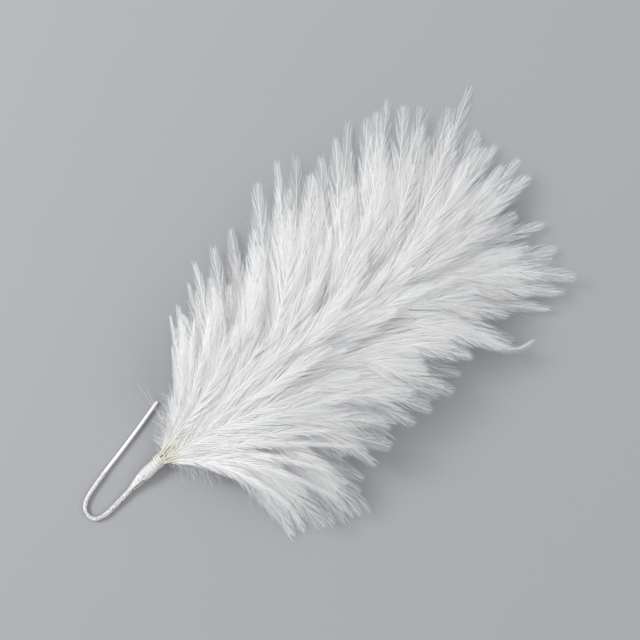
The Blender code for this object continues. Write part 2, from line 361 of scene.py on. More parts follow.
def tape_radius(i, run, turn):
    x = tape_route[i].x - tie.x
    past_bend = i > tape_bend
    depth = FOLD_DEPTH
    if not past_bend:
        grown = float(eased(i, tape_bend - FOLDS_GROW_OVER, tape_bend))
        depth *= ARM_FOLD_SHARE + (1.0 - ARM_FOLD_SHARE) * grown
    folds = depth * (tape_folds(x, run, turn, past_bend) - FOLD_SUNK)
    return tape_thickness(x, past_bend) + folds - loose_end(x, turn, past_bend)


tape, tree, shader = new_material("stem_tape_crinkled")
crinkles = add_fibres(tree, 900.0, 5.0, (0.60, 0.58, 0.56), (0.70, 0.685, 0.67))
# Painted shade: where a point's relief is low, in the grooves between the tape's folds and turns, the base
# colour is darkened down to half.
wound = add_node(tree, "ShaderNodeAttribute", attribute_name="relief", attribute_type="GEOMETRY")
groove_shade_range = {"From Min": 0.95, "From Max": 1.02, "To Min": 0.50, "To Max": 1.0}
between = add_node(tree, "ShaderNodeMapRange", **groove_shade_range)
shaded_tape_colour = add_node(tree, "ShaderNodeMix", data_type="RGBA", blend_type="MULTIPLY", Factor=1.0)
link(tree, wound, "Fac", between, "Value")
link(tree, crinkles, "Color", shaded_tape_colour, "A")
link(tree, between, "Result", shaded_tape_colour, "B")
link(tree, shaded_tape_colour, "Result", shader, "Base Color")
add_bump(tree, crinkles, shader, 0.5, 0.3 * MM)
shader.inputs["Roughness"].default_value = 0.6

tape_mesh = skin_route("stem_tape_winding", tape_route, tape_radius, TAPE_SIDES)
add_piece("stem_tape_winding", tape_mesh, "stem_tape", tape)

# The tie thread: off-white cotton thread pulled tight round the end of the bundle where the hackles leave
# it. Its last turn crosses slantwise over their quills.
THREAD_RADIUS = 0.28 * MM
CROSS_THREAD_RADIUS = 0.238 * MM
THREAD_SIDES = 8
STEPS_PER_TURN = 24
COIL_RADIUS = BUNDLE_RADIUS - 0.02 * MM
CROSS_STEPS = 32
CROSS_STARTS_AT = -0.25
CROSS_MIDDLE = 0.4 * MM
CROSS_SLANT = 1.5 * MM

thread, tree, shader = new_material("tie_thread_cotton")
fibres = add_fibres(tree, 4000.0, 2.0, (0.55, 0.52, 0.46), (0.82, 0.80, 0.74), 0.0, 1.0)
link(tree, fibres, "Color", shader, "Base Color")
shader.inputs["Roughness"].default_value = 0.7


def thread_point(x, y, turn, radius):
    return Vector((x, y + radius * math.cos(turn), float(axis_height(x)) + radius * math.sin(turn))) + tie


coil_route = []
for i in range(THREAD_TURNS * STEPS_PER_TURN + 1):
    x = THREAD_START + THREAD_PITCH * i / STEPS_PER_TURN
    coil_route.append(thread_point(x, STEM_SLOPE * x, math.tau * i / STEPS_PER_TURN, COIL_RADIUS))
coil_mesh = skin_route("tie_thread_turns", coil_route, lambda *_: THREAD_RADIUS, THREAD_SIDES)
add_piece("tie_thread_turns", coil_mesh, "tie_thread", thread)

cross_route = []
for i in range(CROSS_STEPS + 1):
    turn = math.tau * (i / CROSS_STEPS + CROSS_STARTS_AT)
    cross_route.append(thread_point(CROSS_MIDDLE + CROSS_SLANT * math.cos(turn), 0.0, turn, BUNDLE_RADIUS))
cross_mesh = skin_route("tie_thread_cross", cross_route, lambda *_: CROSS_THREAD_RADIUS, THREAD_SIDES)
add_piece("tie_thread_cross", cross_mesh, None, thread)

# The hackles: white neck feathers of a rooster, each with a slender rachis and two vanes of long barbs
# that lie at a shallow angle. They leave the stem nearly along it and bend outwards. Every node of the
# frame is one hackle, and with it grow the next few of the real mount's on the same sheet.
rng = np.random.default_rng(7)
DOME_HALF_WIDTH = 70 * MM
DOME_HEIGHT = 20 * MM
DOME_HEIGHT_AT_TIP = 6 * MM
DOME_RISES_OVER = 26 * MM
FLATTEST_SHARE = 0.06
THINNEST_PLUME = 1 * MM
FLOOR_MARGIN = 0.5 * MM
STEM_CLEARANCE = 1.5 * MM
HACKLE_REACH = 95 * MM
FIRST_ROOT = 1.2 * MM
LAST_ROOT = 104 * MM
INNERMOST_RUNS_ON, INNERMOST_SOFTNESS = 6 * MM, 4 * MM
OUTERMOST_START, OUTERMOST_SOFTNESS = 4 * MM, 10 * MM
LEAVES_AT, ENDS_AT = 0.40, 1.35
LEAVING_HANDLE, ENDING_HANDLE = 0.36, 0.33
PATH_POINTS = 80
CURL_FROM, CURL_TO = 0.78, 0.96

# The hackles' tips in the order of their roots, in millimetres from the tie along the stem and to its left.
UPPER_TIPS = (
    (38.1, 41.2),
    (31.8, -57.0),
    (66.0, 4.0),
    (51.9, 50.2),
    (44.6, -61.2),
    (76.6, 46.7),
    (78.0, -24.0),
    (60.4, -49.4),
    (84.0, 18.0),
    (98.0, 62.9),
    (88.4, -45.5),
    (100.0, -8.0),
    (104.0, 51.0),
    (98.6, -44.7),
    (112.0, 26.0),
    (120.0, 56.0),
    (111.6, -38.7),
    (128.0, -20.0),
    (138.0, 54.9),
    (122.0, -43.0),
    (137.0, 12.0),
    (147.0, 50.8),
    (133.7, -46.7),
    (157.8, 34.6),
    (150.0, -30.0),
    (162.0, 20.0),
    (159.7, -38.5),
    (169.1, 9.0),
)
LOWER_TIPS = (
    (31.9, 35.5),
    (24.2, -54.0),
    (45.0, 46.0),
    (38.2, -60.5),
    (48.1, -62.9),
    (69.7, 53.0),
    (45.1, -43.0),
    (88.0, 50.0),
    (70.0, -47.0),
    (105.0, 60.0),
    (80.0, -44.0),
    (113.2, 50.1),
    (93.7, -43.7),
    (128.2, 58.7),
    (105.0, -42.0),
    (132.0, 50.0),
    (116.0, -34.0),
    (144.6, 56.7),
    (128.0, -44.0),
    (153.3, 46.6),
    (143.4, -38.3),
    (172.6, 42.0),
    (154.2, -41.0),
    (164.0, 27.3),
    (161.3, -26.5),
    (166.0, 18.5),
    (162.7, -15.8),
    (169.3, 1.3),
)


def lesser(a, b, softness):
    """The smaller of two values, with a rounded passage from one to the other."""
    return (a + b - np.hypot(a - b, softness)) / 2.0


def sheet_height(x, y, root, side, share_scale):
    """The height over the floor of the sheet that a hackle lies on."""
    innermost = lesser(x, LAST_ROOT + INNERMOST_RUNS_ON, INNERMOST_SOFTNESS)
    outermost = -lesser(HACKLE_REACH - x, OUTERMOST_START, OUTERMOST_SOFTNESS)
    thickness = np.maximum(innermost - outermost, THINNEST_PLUME)
    share = np.maximum((innermost - root) / thickness, 0.0) * share_scale
    middle = axis_height(x)
    if side > 0:
        swell = 1.0 - np.exp(-np.maximum(x, 0.0) / DOME_RISES_OVER)
        fall = (DOME_HEIGHT - DOME_HEIGHT_AT_TIP) * eased(x, FALL_FROM, FALL_TO)
        depth = (DOME_HEIGHT - fall) * swell
    else:
        depth = middle - STEM_CLEARANCE - FLOOR_MARGIN
    height = middle + side * (STEM_CLEARANCE + depth * share)
    return height * np.maximum(1.0 - (y / DOME_HALF_WIDTH) ** 2, FLATTEST_SHARE)


def hackle_path(root, tip, leaves=LEAVES_AT, ends=ENDS_AT, curl=0.0, root_y=0.0):
    """The rachis in plan as close points with their arc lengths; curl turns its last part by that angle."""
    start = np.array((root, root_y))
    end = np.array(tip)
    length = np.linalg.norm(end - start)
    angle = math.atan2(end[1], end[0] - root)
    first = start + LEAVING_HANDLE * length * np.array((math.cos(angle * leaves), math.sin(angle * leaves)))
    second = end - ENDING_HANDLE * length * np.array((math.cos(angle * ends), math.sin(angle * ends)))
    t = np.linspace(0.0, 1.0, PATH_POINTS)[:, None]
    s = 1.0 - t
    path = s**3 * start + 3 * s * s * t * first + 3 * s * t * t * second + t**3 * end
    steps = np.diff(path, axis=0)
    bend = curl * eased(t[1:, 0], CURL_FROM, CURL_TO)
    cos, sin = np.cos(bend), np.sin(bend)
    turned = np.stack((steps[:, 0] * cos - steps[:, 1] * sin, steps[:, 0] * sin + steps[:, 1] * cos), axis=1)
    path = np.concatenate((path[:1], path[:1] + np.cumsum(turned, axis=0)))
    run = np.concatenate(((0.0,), np.cumsum(np.linalg.norm(turned, axis=1))))
    return path, run


def along_path(path, run, at):
    """Places on the path and the directions there; past the tip the path goes on straight."""
    past = np.maximum(at - run[-1], 0.0)[..., None]
    spot = np.stack([np.interp(at, run, path[:, k]) for k in range(2)], axis=-1)
    slopes = np.gradient(path, run, axis=0)
    way = np.stack([np.interp(at, run, slopes[:, k]) for k in range(2)], axis=-1)
    way /= np.linalg.norm(way, axis=-1)[..., None]
    return spot + past * way, way


def growth_values(along, out, tone):
    """What the material reads: the share along the hackle, the share out along the barb and a tone."""
    return np.stack((along, out, tone, np.ones_like(along)), axis=1)


RACHIS_STATIONS = 30
RACHIS_RADIUS, RACHIS_TIP_RADIUS = 0.27 * MM, 0.05 * MM
RACHIS_TAPER, RACHIS_FLATNESS = 0.7, 0.9
RACHIS_TONE = 0.5
RACHIS_ROWS = (0.485, 0.495, 0.505, 0.515)


def grow_rachis(path, run, length, height):
    """A fine shaft with four sides that thins towards its tip, closed at both ends."""
    at = np.linspace(0.0, length, RACHIS_STATIONS)
    spot, way = along_path(path, run, at)
    radius = RACHIS_RADIUS * (1.0 - at / length) ** RACHIS_TAPER + RACHIS_TIP_RADIUS
    middle = np.concatenate((spot, height(spot)[:, None]), axis=1)
    across = np.stack((-way[:, 1], way[:, 0], np.zeros(len(way))), axis=1) * radius[:, None]
    up = np.array((0.0, 0.0, RACHIS_FLATNESS)) * radius[:, None]
    points = np.stack((middle + across, middle + up, middle - across, middle - up), axis=1).reshape(-1, 3)
    last = 4 * (RACHIS_STATIONS - 1)
    first = np.arange(0, last, 4)[:, None]
    low, high = np.arange(4)[None, :], np.roll(np.arange(4), -1)[None, :]
    walls = np.stack((first + low, first + low + 4, first + high + 4, first + high), axis=-1).reshape(-1, 4)
    caps = np.array(((0, 1, 2, 3), (last + 3, last + 2, last + 1, last)))
    share = np.repeat(at / length, 4)
    values = growth_values(share, np.zeros_like(share), np.full_like(share, RACHIS_TONE))
    places = np.stack((share, np.tile(RACHIS_ROWS, RACHIS_STATIONS)), axis=1)
    return points, np.concatenate((walls, caps)), values, places


STRAND_COLUMN = (0.1, 0.9)


def grow_strands(line, half, roll, along, tone, row):
    """Flat threads along the lines, each turned about its own length by its roll, with their growth values
    and a column each of the bake map."""
    strands, knots = line.shape[:2]
    ahead = np.gradient(line, axis=1)
    ahead /= np.linalg.norm(ahead, axis=-1)[..., None]
    flat = np.cross(ahead, (0.0, 0.0, 1.0))
    flat /= np.maximum(np.linalg.norm(flat, axis=-1), 1e-9)[..., None]
    edge = np.cross(flat, ahead)
    roll = roll[:, None, None]
    offset = half[..., None] * (np.cos(roll) * flat + np.sin(roll) * edge)
    points = np.stack((line - offset, line + offset), axis=2).reshape(-1, 3)
    first = 2 * knots * np.arange(strands)[:, None] + 2 * np.arange(knots - 1)[None, :]
    faces = np.stack((first, first + 1, first + 3, first + 2), axis=-1).reshape(-1, 4)
    out = np.tile(np.repeat(np.linspace(0.0, 1.0, knots), 2), strands)
    values = growth_values(np.repeat(along, knots * 2), out, np.repeat(tone, knots * 2))
    column = (np.arange(strands)[:, None, None] + np.array(STRAND_COLUMN)) / strands
    column = np.broadcast_to(column, (strands, knots, 2))
    row = np.broadcast_to(row[None, :, None], (strands, knots, 2))
    return points, faces, values, np.stack((column, row), axis=-1).reshape(-1, 2)


def walk(headings, reach):
    """How far forward and outward each knot of each line is, from the headings of its pieces."""
    step = (reach / headings.shape[1])[:, None]
    zero = np.zeros((len(reach), 1))
    forward = np.concatenate((zero, np.cumsum(np.cos(headings) * step, axis=1)), axis=1)
    outward = np.concatenate((zero, np.cumsum(np.sin(headings) * step, axis=1)), axis=1)
    return forward, outward


# The barbs cling together in locks, each with a length and a slant of its own, and a few stray from them.
# They are longest a little below the middle of the hackle, and shorter and finer towards its tip.
BARBS = 235
BARB_KNOTS = 4
BARE_QUILL = 0.10
LAST_BARB = 0.995
UNEVEN_SPACING = (0.1, 0.9)
LOCK_CHANCE = 0.15
STRAY_CHANCE = 0.08
RACHIS_SHARE = 0.98

LONGEST_BARB = 17.5 * MM
BARB_PAST_TIP = 0.9 * MM
REACH_AT_QUILL, REACH_LOST_AT_TIP = 0.42, 0.52
REACH_GROWS, REACH_FALLS = (0.05, 0.34), (0.45, 1.0)
LOCK_REACHES, BARB_REACHES = (0.88, 1.08), (0.80, 1.06)

QUILL_OPENING, MIDDLE_OPENING = math.radians(44.0), math.radians(19.0)
OPENING_FADES = 2.6
TIP_OPENS = (0.5, 1.0)
NARROWEST_OPENING = 0.6
LOCK_SLANT, BARB_SLANT, STRAY_SLANT = math.radians(1.8), math.radians(1.2), math.radians(11.0)
CLOSES_TO = (0.35, 0.70)
TIP_CLOSES = (0.65, 1.0)
LOCK_GATHER, GATHER_BEND = 0.75, 1.3

VANE_HALF_WIDTH, VANE_TIP_HALF_WIDTH = 7.4 * MM, 1.0 * MM
VANE_ENDS_AT, VANE_NARROWS_OVER = 1.04, 0.45
LOCK_EDGES, BARB_EDGES = (0.75, 1.35), (0.8, 1.35)
STRAY_EDGE = 2.0
VANE_ROUNDING = 0.9 * MM
VANE_DROOP = 10.0
LOCK_SLOPE, BARB_SLOPE, STRAY_SLOPE = 0.09, 0.03, 0.22
FLOOR_GAP = 0.15 * MM

BARB_HALF_WIDTH, BARB_HALF_THINNING = 0.072 * MM, 0.054 * MM
FINER_AT_TIP, GROWS_FINER = 0.72, (0.40, 0.92)
BARB_ROLL = math.radians(32)
VANE_ROWS = (0.02, 0.5)

# A hackle's tip is anything from pointed to blunt. Each pair is for a pointed tip and for a blunt one.
SHORTEST_TO_TIP = (0.66, 0.78)
TIP_OPENS_BY = (math.radians(-1.0), math.radians(6.0))
TIP_CLOSES_BY = (math.radians(7.0), math.radians(2.0))
VANE_TAPER = (1.05, 0.75)


def for_tip(pair, blunt):
    return pair[0] + (pair[1] - pair[0]) * blunt


def of_locks(lock, draw, *limits):
    """One random value for every lock, given to each of its barbs."""
    return draw(*limits, lock[-1] + 1)[lock]


def barb_reach(u, lock, length, width, blunt):
    """The barbs' lengths, held so that none of them goes far past the tip."""
    reach = REACH_AT_QUILL + (1.0 - REACH_AT_QUILL) * eased(u, *REACH_GROWS)
    reach *= LONGEST_BARB * width * (1.0 - REACH_LOST_AT_TIP * eased(u, *REACH_FALLS))
    reach *= of_locks(lock, rng.uniform, *LOCK_REACHES) * rng.uniform(*BARB_REACHES, BARBS)
    to_tip = (1.0 - u) * length * rng.uniform(for_tip(SHORTEST_TO_TIP, blunt), 1.0, BARBS)
    return np.minimum(reach, to_tip + BARB_PAST_TIP)


def barb_headings(u, lock, stray, width, blunt):
    """The slant to the rachis of each piece of each barb, which closes towards the barb's end."""
    opening = MIDDLE_OPENING + (QUILL_OPENING - MIDDLE_OPENING) * (1.0 - u) ** OPENING_FADES
    opening += for_tip(TIP_OPENS_BY, blunt) * eased(u, *TIP_OPENS)
    opening *= NARROWEST_OPENING + (1.0 - NARROWEST_OPENING) * width
    opening += of_locks(lock, rng.normal, 0.0, LOCK_SLANT)
    opening += rng.normal(0.0, 1.0, BARBS) * np.where(stray, STRAY_SLANT, BARB_SLANT)
    closing = opening * rng.uniform(*CLOSES_TO, BARBS)
    closing -= for_tip(TIP_CLOSES_BY, blunt) * eased(u, *TIP_CLOSES)
    heading = np.linspace(opening, closing, BARB_KNOTS, axis=1)
    return (heading[:, 1:] + heading[:, :-1]) / 2


def within_vane(outward, reached, lock, stray, width, blunt):
    """Holds the barbs within the vane's outline, which narrows to the tip."""
    to_tip = np.clip(VANE_ENDS_AT - reached, 0.0, 1.0) / VANE_NARROWS_OVER
    outline = (VANE_TIP_HALF_WIDTH + VANE_HALF_WIDTH * to_tip ** for_tip(VANE_TAPER, blunt)) * width
    ragged = of_locks(lock, rng.uniform, *LOCK_EDGES) * rng.uniform(*BARB_EDGES, BARBS)
    outline *= (ragged + STRAY_EDGE * stray)[:, None]
    rounding = VANE_ROUNDING * np.linspace(0.0, 1.0, BARB_KNOTS)[None, :]
    return np.maximum(lesser(outward, outline, rounding), 0.0)


def barb_rise(lock, stray, outward):
    """How far the barbs stand off the sheet on which their hackle lies."""
    slope = of_locks(lock, rng.normal, 0.0, LOCK_SLOPE) + rng.normal(0.0, BARB_SLOPE, BARBS)
    slope += np.where(stray, rng.normal(0.0, STRAY_SLOPE, BARBS), 0.0)
    return slope[:, None] * outward - VANE_DROOP * outward**2


def grow_vane(path, run, length, hand, height, side, bare, width, blunt, trails):
    """The barbs on one hand of a rachis; those that trail keep straight on where the rachis curls."""
    t = np.linspace(0.0, 1.0, BARB_KNOTS)
    u = bare + (LAST_BARB - bare) * (np.arange(BARBS) + rng.uniform(*UNEVEN_SPACING, BARBS)) / BARBS
    lock = np.cumsum(rng.uniform(size=BARBS) < LOCK_CHANCE)
    lock_middle = (np.bincount(lock, weights=u) / np.maximum(np.bincount(lock), 1))[lock]
    reach = barb_reach(u, lock, length, width, blunt)
    stray = rng.uniform(size=BARBS) < STRAY_CHANCE
    forward, outward = walk(barb_headings(u, lock, stray, width, blunt), reach)
    start = (u * length)[:, None]
    gather = LOCK_GATHER * length * (lock_middle - u)[:, None] * t[None, :] ** GATHER_BEND
    reached = start + forward + gather
    outward = within_vane(outward, reached / length, lock, stray, width, blunt)
    held = np.broadcast_to(start, reached.shape) if trails else reached
    spot, way = along_path(path, run, held)
    spot = spot + way * (reached - held)[..., None]
    spot = spot + hand * np.stack((-way[..., 1], way[..., 0]), axis=-1) * outward[..., None]
    level = height(spot) + side * barb_rise(lock, stray, outward)
    line = np.concatenate((spot, np.maximum(level, FLOOR_GAP)[..., None]), axis=-1)
    half = np.outer(1.0 - FINER_AT_TIP * eased(u, *GROWS_FINER), BARB_HALF_WIDTH - BARB_HALF_THINNING * t)
    roll = rng.normal(0.0, BARB_ROLL, BARBS)
    tone = rng.uniform(0.0, 1.0, BARBS)
    return grow_strands(line, half, roll, u, tone, 0.5 + hand * np.linspace(*VANE_ROWS, BARB_KNOTS))


def grow_hackle(root, tip, side, share_scale=1.0, lift=0.0, bare=BARE_QUILL, width=1.0, root_y=0.0, **bends):
    """One hackle as a list of shapes: points, faces, growth values and places on the bake map."""
    path, run = hackle_path(root, tip, root_y=root_y, **bends)
    length = run[-1] * RACHIS_SHARE

    def height(spot):
        return sheet_height(spot[..., 0], spot[..., 1], root, side, share_scale) + lift

    shapes = [grow_rachis(path, run, length, height)]
    blunt = rng.uniform(0.0, 1.0)
    for hand in (-1.0, 1.0):
        trails = bends.get("curl", 0.0) * hand < 0
        shapes.append(grow_vane(path, run, length, hand, height, side, bare, width, blunt, trails))
    return shapes


def gather_shapes(hackles):
    """The points, faces, growth values and bake places of all hackles, each with its part of the bake map."""
    start = 0
    points, faces, growth, places = [], [], [], []
    for n, hackle in enumerate(hackles):
        for shape_points, shape_faces, values, shape_places in hackle:
            points.append(shape_points + np.array(tie))
            faces.append(shape_faces + start)
            growth.append(values)
            places.append((shape_places + np.array((n, 0.0))) / np.array((len(hackles), 1.0)))
            start += len(shape_points)
    return [np.concatenate(rows) for rows in (points, faces, growth, places)]


def join_hackles(name, hackles):
    """One mesh of several hackles; its growth values are an attribute that the material reads."""
    points, faces, growth, places = gather_shapes(hackles)
    mesh = bpy.data.meshes.new(name)
    mesh.vertices.add(len(points))
    mesh.vertices.foreach_set("co", points.ravel())
    mesh.loops.add(faces.size)
    mesh.loops.foreach_set("vertex_index", faces.ravel())
    mesh.polygons.add(len(faces))
    mesh.polygons.foreach_set("loop_start", np.arange(0, faces.size, 4))
    mesh.update(calc_edges=True)
    values = mesh.attributes.new("growth", "FLOAT_COLOR", "POINT")
    values.data.foreach_set("color", growth.ravel())
    layer = mesh.uv_layers.new(name="OFBake")
    layer.data.foreach_set("uv", places[faces.ravel()].ravel())
    mesh.shade_smooth()
    mesh.validate()
    return mesh


def quill_ramp(tree):
    """Creamy quill that turns white along the hackle."""
    ramp = add_node(tree, "ShaderNodeValToRGB")
    quill, vane = ramp.color_ramp.elements
    quill.position, quill.color = 0.02, (0.83, 0.80, 0.67, 1.0)
    vane.position, vane.color = 0.45, (0.93, 0.925, 0.91, 1.0)
    between = ramp.color_ramp.elements.new(0.18)
    between.color = (0.91, 0.90, 0.85, 1.0)
    return ramp


WHITER_OUTWARDS, COOLER_OUTWARDS = 0.8, 0.45
keratin, tree, shader = new_material("hackle_keratin_white")
grown = add_node(tree, "ShaderNodeAttribute", attribute_name="growth", attribute_type="GEOMETRY")
shares = add_node(tree, "ShaderNodeSeparateColor")
link(tree, grown, "Color", shares, "Color")

whiter = add_node(tree, "ShaderNodeMath", operation="MULTIPLY_ADD")
whiter.inputs[1].default_value = WHITER_OUTWARDS
tree.links.new(shares.outputs["Green"], whiter.inputs[0])
tree.links.new(shares.outputs["Red"], whiter.inputs[2])
quill = quill_ramp(tree)
link(tree, whiter, "Value", quill, "Fac")

cooler = add_node(tree, "ShaderNodeMath", operation="MULTIPLY")
cooler.inputs[1].default_value = COOLER_OUTWARDS
tree.links.new(shares.outputs["Green"], cooler.inputs[0])
cool = add_node(tree, "ShaderNodeMix", data_type="RGBA", B=(0.85, 0.86, 0.90, 1.0))
link(tree, cooler, "Value", cool, "Factor")
link(tree, quill, "Color", cool, "A")

shade = add_node(tree, "ShaderNodeMapRange", **{"To Min": 0.90, "To Max": 1.0})
tone = add_node(tree, "ShaderNodeMix", data_type="RGBA", blend_type="MULTIPLY", Factor=1.0)
link(tree, shares, "Blue", shade, "Value")
link(tree, cool, "Result", tone, "A")
link(tree, shade, "Result", tone, "B")
link(tree, tone, "Result", shader, "Base Color")

coords = add_node(tree, "ShaderNodeTexCoord")
cloud = add_node(tree, "ShaderNodeTexNoise", Scale=140.0)
gloss = add_node(tree, "ShaderNodeMapRange", **{"To Min": 0.42, "To Max": 0.66})
link(tree, coords, "Object", cloud, "Vector")
link(tree, cloud, "Fac", gloss, "Value")
link(tree, gloss, "Result", shader, "Roughness")

glow = add_node(tree, "ShaderNodeBsdfTranslucent")
blend = add_node(tree, "ShaderNodeMixShader", Fac=0.30)
link(tree, tone, "Result", glow, "Color")
tree.links.new(shader.outputs["BSDF"], blend.inputs[1])
tree.links.new(glow.outputs["BSDF"], blend.inputs[2])
link(tree, blend, "Shader", tree.nodes["Material Output"], "Surface")

# Here and further on, a pair that is a range of lengths is in millimetres, and one of angles in degrees.
CURLED_HACKLE = "hackle_upper_23"
CURLED_TIP = (127.1 * MM, -54.4 * MM)
CURL = 1.15
CURLED_WIDTH = 0.55
OWN_WIDTHS = (0.85, 1.05)
SLENDER_BY = 0.45
SLENDER_TO = 22 * MM
COMPANION_SIDES = (1.0, 1.0, -0.5)
COMPANION_SHARES = (1.0, 0.96, 0.5)
COMPANION_TURNS = (2.5, 11.5)
COMPANION_ROOTS = (-1.6, 1.6)
FIRST_COMPANION_ROOT = 0.6 * MM
COMPANION_REACHES = (0.68, 0.97)
COMPANION_LIFTS = (-0.5, 0.6)
COMPANION_WIDTHS = (0.75, 1.05)
COMPANION_ENDS = (1.1, 1.5)


def turned_tip(root, tip, turn, scale):
    """The tip turned about the root and brought nearer to it by the scale."""
    dx, dy = tip[0] - root, tip[1]
    cos, sin = math.cos(turn), math.sin(turn)
    return (root + (dx * cos - dy * sin) * scale, (dx * sin + dy * cos) * scale)


def grow_companion(root, tip, side, inward, share_scale, slender):
    """A hackle that lies with a node's own, a little shorter and turned a little in or out."""
    towards_middle = -math.copysign(1.0, tip[1])
    turn = towards_middle * inward * math.radians(rng.uniform(*COMPANION_TURNS))
    near_root = max(root + rng.uniform(*COMPANION_ROOTS) * MM, FIRST_COMPANION_ROOT)
    near_tip = turned_tip(near_root, tip, turn, rng.uniform(*COMPANION_REACHES))
    lift = side * rng.uniform(*COMPANION_LIFTS) * MM
    width = slender * rng.uniform(*COMPANION_WIDTHS)
    ends = rng.uniform(*COMPANION_ENDS)
    return grow_hackle(near_root, near_tip, side, share_scale, lift, width=width, ends=ends)


def grow_plumage(node, root, tip, side):
    """The hackle that stands for a node of the frame, with its companions."""
    slender = 1.0 - SLENDER_BY * (tip[1] > 0) * (1.0 - float(eased(root, 0.0, SLENDER_TO)))
    if node == CURLED_HACKLE:
        hackles = [grow_hackle(root, CURLED_TIP, side, width=CURLED_WIDTH, curl=CURL)]
    else:
        hackles = [grow_hackle(root, tip, side, width=slender * rng.uniform(*OWN_WIDTHS))]
    for inward, share_scale in zip(COMPANION_SIDES, COMPANION_SHARES):
        hackles.append(grow_companion(root, tip, side, inward, share_scale, slender))
    return hackles


for side, word, tips in ((1, "upper", UPPER_TIPS), (-1, "lower", LOWER_TIPS)):
    spacing = (LAST_ROOT - FIRST_ROOT) / (len(tips) - 1)
    for number, (x, y) in enumerate(tips):
        node = f"hackle_{word}_{number + 1:02d}"
        hackles = grow_plumage(node, FIRST_ROOT + spacing * number, (x * MM, y * MM), side)
        plumage = join_hackles(f"{node}_plumage", hackles)
        add_piece(f"{node}_plumage", plumage, node, keratin)

# The base hackles: the last ones tied on. Their creamy, shining quills come out of the tape's mouth side by
# side, and their vanes close the plume over the stem.
BASE_ROOT = -1.6 * MM
BASE_ROOT_SPREAD = 0.04
BASE_LIFTS = (-0.7, 0.5)
BASE_SHARES = (0.9, 1.0)
BASE_WIDTHS = (0.85, 1.05)
BASE_BARE_QUILLS = (0.03, 0.12)
NARROW_BY, NARROWS_FROM_STEM, NARROWEST_FROM_STEM = 0.45, 18 * MM, 34 * MM
BASE_TIPS = (
    (30.0, 27.0),
    (36.0, 34.0),
    (47.0, 32.0),
    (52.0, 22.0),
    (66.0, 14.0),
    (60.0, 6.0),
    (74.0, -4.0),
    (62.0, -13.0),
    (68.0, -22.0),
    (55.0, -28.0),
    (58.0, -38.0),
    (46.0, -40.0),
    (34.0, -36.0),
    (42.0, -50.0),
    (27.0, -42.0),
)
base_hackles = []
for x, y in BASE_TIPS:
    tip = (x * MM, y * MM)
    lift = rng.uniform(*BASE_LIFTS) * MM
    share_scale = rng.uniform(*BASE_SHARES)
    narrowing = 1.0 - NARROW_BY * float(eased(abs(tip[1]), NARROWS_FROM_STEM, NARROWEST_FROM_STEM))
    width = rng.uniform(*BASE_WIDTHS) * narrowing
    bare = rng.uniform(*BASE_BARE_QUILLS)
    root_y = BASE_ROOT_SPREAD * tip[1]
    hackle = grow_hackle(BASE_ROOT, tip, 1, share_scale, lift, bare=bare, width=width, root_y=root_y)
    base_hackles.append(hackle)
add_piece("base_hackles", join_hackles("base_hackles", base_hackles), None, keratin)

# The ridge hackles: bound on the top side of the stem, one behind the other, so that they close the plume
# where its left and right hackles part, with a few on its right flank that lie over the lower ones.
RIDGE_HACKLES = 14
RIDGE_FROM, RIDGE_TO = 10 * MM, 102 * MM
RIDGE_REACHES = (56.0, 68.0)
RIDGE_SHORTENS_BY = 0.1
RIDGE_SWAYS = (6.0, -7.0, 0.5, 9.0, -3.0)
UNEVEN_SWAY = (-2.0, 2.0)
RIDGE_LIFTS = (0.0, 0.6)
RIDGE_WIDTHS = (0.85, 1.05)
RIDGE_ENDS_AT = 2.0
FLANK_SHARES = (0.86, 0.98)
FLANK_WIDTHS = (0.9, 1.05)
# Each flank hackle's root along the stem and its tip, in millimetres from the tie.
FLANK_HACKLES = (
    (5.0, 64.0, -28.0),
    (8.0, 70.0, -35.0),
    (11.0, 76.0, -41.0),
    (14.0, 69.0, -47.0),
    (19.0, 86.0, -36.0),
)
ridge_hackles = []
for i in range(RIDGE_HACKLES):
    root = RIDGE_FROM + (RIDGE_TO - RIDGE_FROM) * i / (RIDGE_HACKLES - 1)
    reach = rng.uniform(*RIDGE_REACHES) * (1.0 - RIDGE_SHORTENS_BY * i / RIDGE_HACKLES) * MM
    sway = (RIDGE_SWAYS[i % len(RIDGE_SWAYS)] + rng.uniform(*UNEVEN_SWAY)) * MM
    lift = rng.uniform(*RIDGE_LIFTS) * MM
    width = rng.uniform(*RIDGE_WIDTHS)
    tip = (root + reach, sway)
    ridge_hackles.append(grow_hackle(root, tip, 1, lift=lift, width=width, ends=RIDGE_ENDS_AT))
for root, x, y in FLANK_HACKLES:
    share_scale = rng.uniform(*FLANK_SHARES)
    width = rng.uniform(*FLANK_WIDTHS)
    ridge_hackles.append(grow_hackle(root * MM, (x * MM, y * MM), 1, share_scale, width=width))
add_piece("ridge_hackles", join_hackles("ridge_hackles", ridge_hackles), None, keratin)

# The base down: short soft barbs that stand off the quills near the tie, and a few long loose hairs.
DOWN_STRANDS = 1500
DOWN_KNOTS = 5
DOWN_FAN, DOWN_LEAN = math.radians(50.0), math.radians(4.0)
DOWN_FROM_TIE = (0.5, 20.0)
DOWN_STANDS_OFF = (25.0, 75.0)
DOWN_REACHES = (3.0, 8.0)
DOWN_WAVE, DOWN_WAVES, LATEST_WAVE = 0.35, 5.0, 6.0
UNWAVED_PAST = 10 * MM
DOWN_LEVELS = (-0.9, 0.9)
QUILLS_HALF_THICKNESS, QUILLS_FAN_OUT = 1.5 * MM, 0.12
DOWN_CLIMBS = 0.3
DOWN_HALF_WIDTH, DOWN_HALF_THINNING = 0.05 * MM, 0.03 * MM
DOWN_ROLL = 1.5
DOWN_WHITE_AS_AT = 0.5
LONG_HAIRS = 9
HAIRS_LEAVE_AT = math.radians(42.0)
HAIRS_FROM_TIE = (6.0, 10.0)
HAIR_HEADINGS = (72.0, 92.0)
HAIR_REACHES = (14.0, 24.0)


